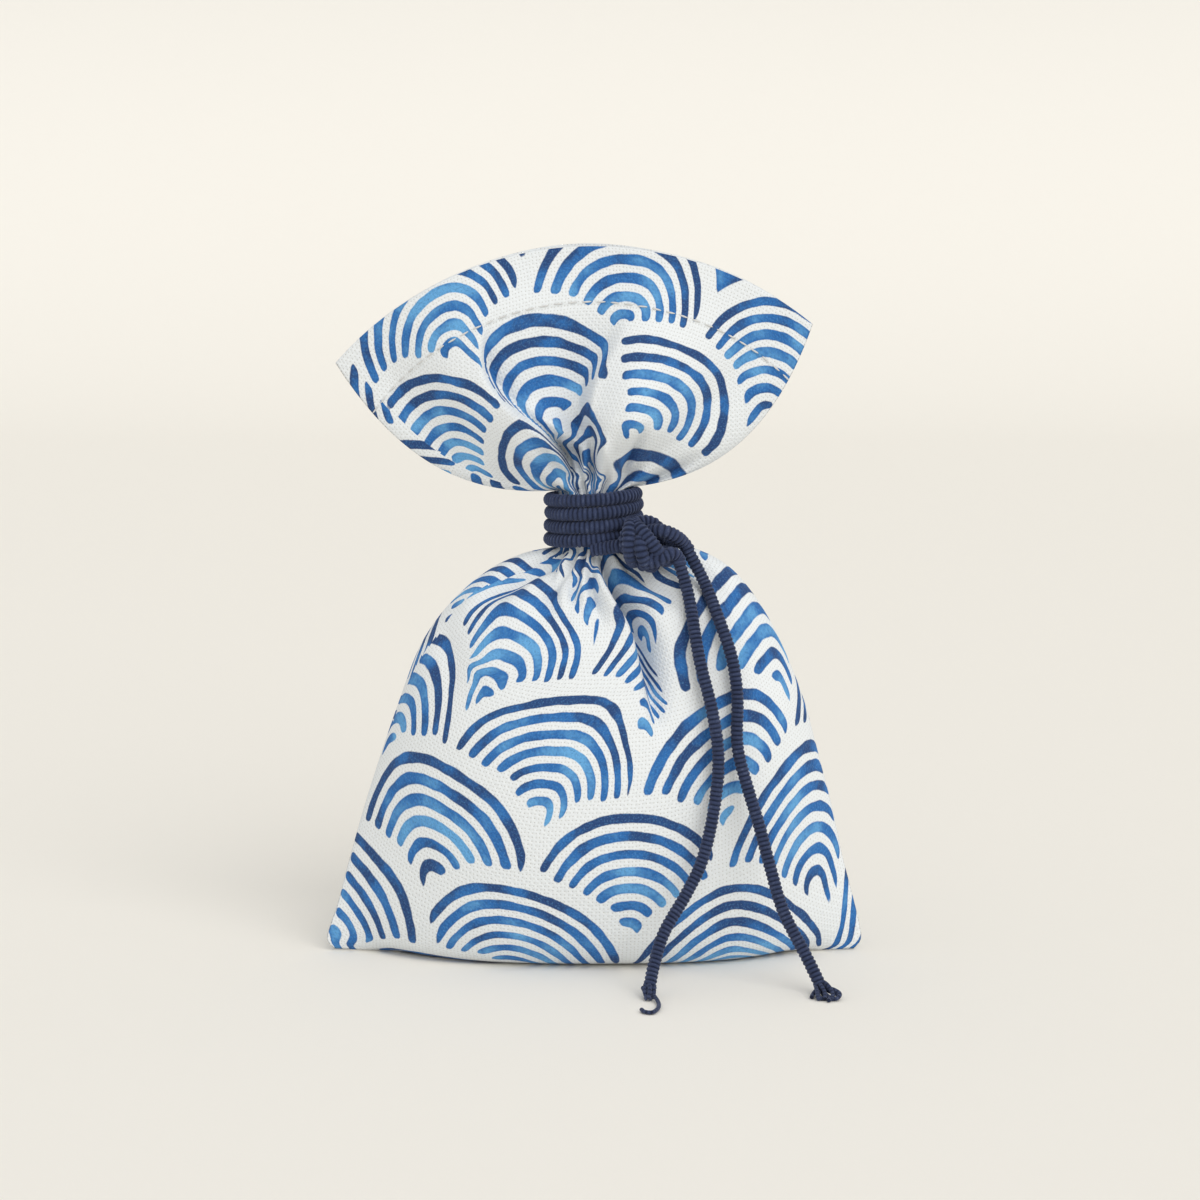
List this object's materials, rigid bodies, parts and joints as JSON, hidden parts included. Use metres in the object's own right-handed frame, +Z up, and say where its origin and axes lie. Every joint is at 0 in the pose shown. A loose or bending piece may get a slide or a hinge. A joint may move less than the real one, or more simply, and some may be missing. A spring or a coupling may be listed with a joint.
{
  "type": "pouch",
  "caption": "Stuffed cotton favour pouch with a painted wave-scallop print, gathered at the neck and tied with a wound navy cord whose tails hang down the front.",
  "frame": {"origin": "middle of the bag's underside, on the surface that it stands on", "axes": "+X to the right across the front, +Y from the front to the back, +Z up; the knot and the tails are on the front, -Y"},
  "size_m": [0.0982, 0.0544, 0.1287],
  "materials": {
    "printed_cotton": "matte",
    "navy_cord": "matte"
  },
  "bodies": {
    "root": {"pouch_bag": "printed_cotton", "cord_wraps": "navy_cord", "cord_knot": "navy_cord", "cord_tail_left": "navy_cord", "cord_tail_right": "navy_cord"}
  },
  "joints": []
}
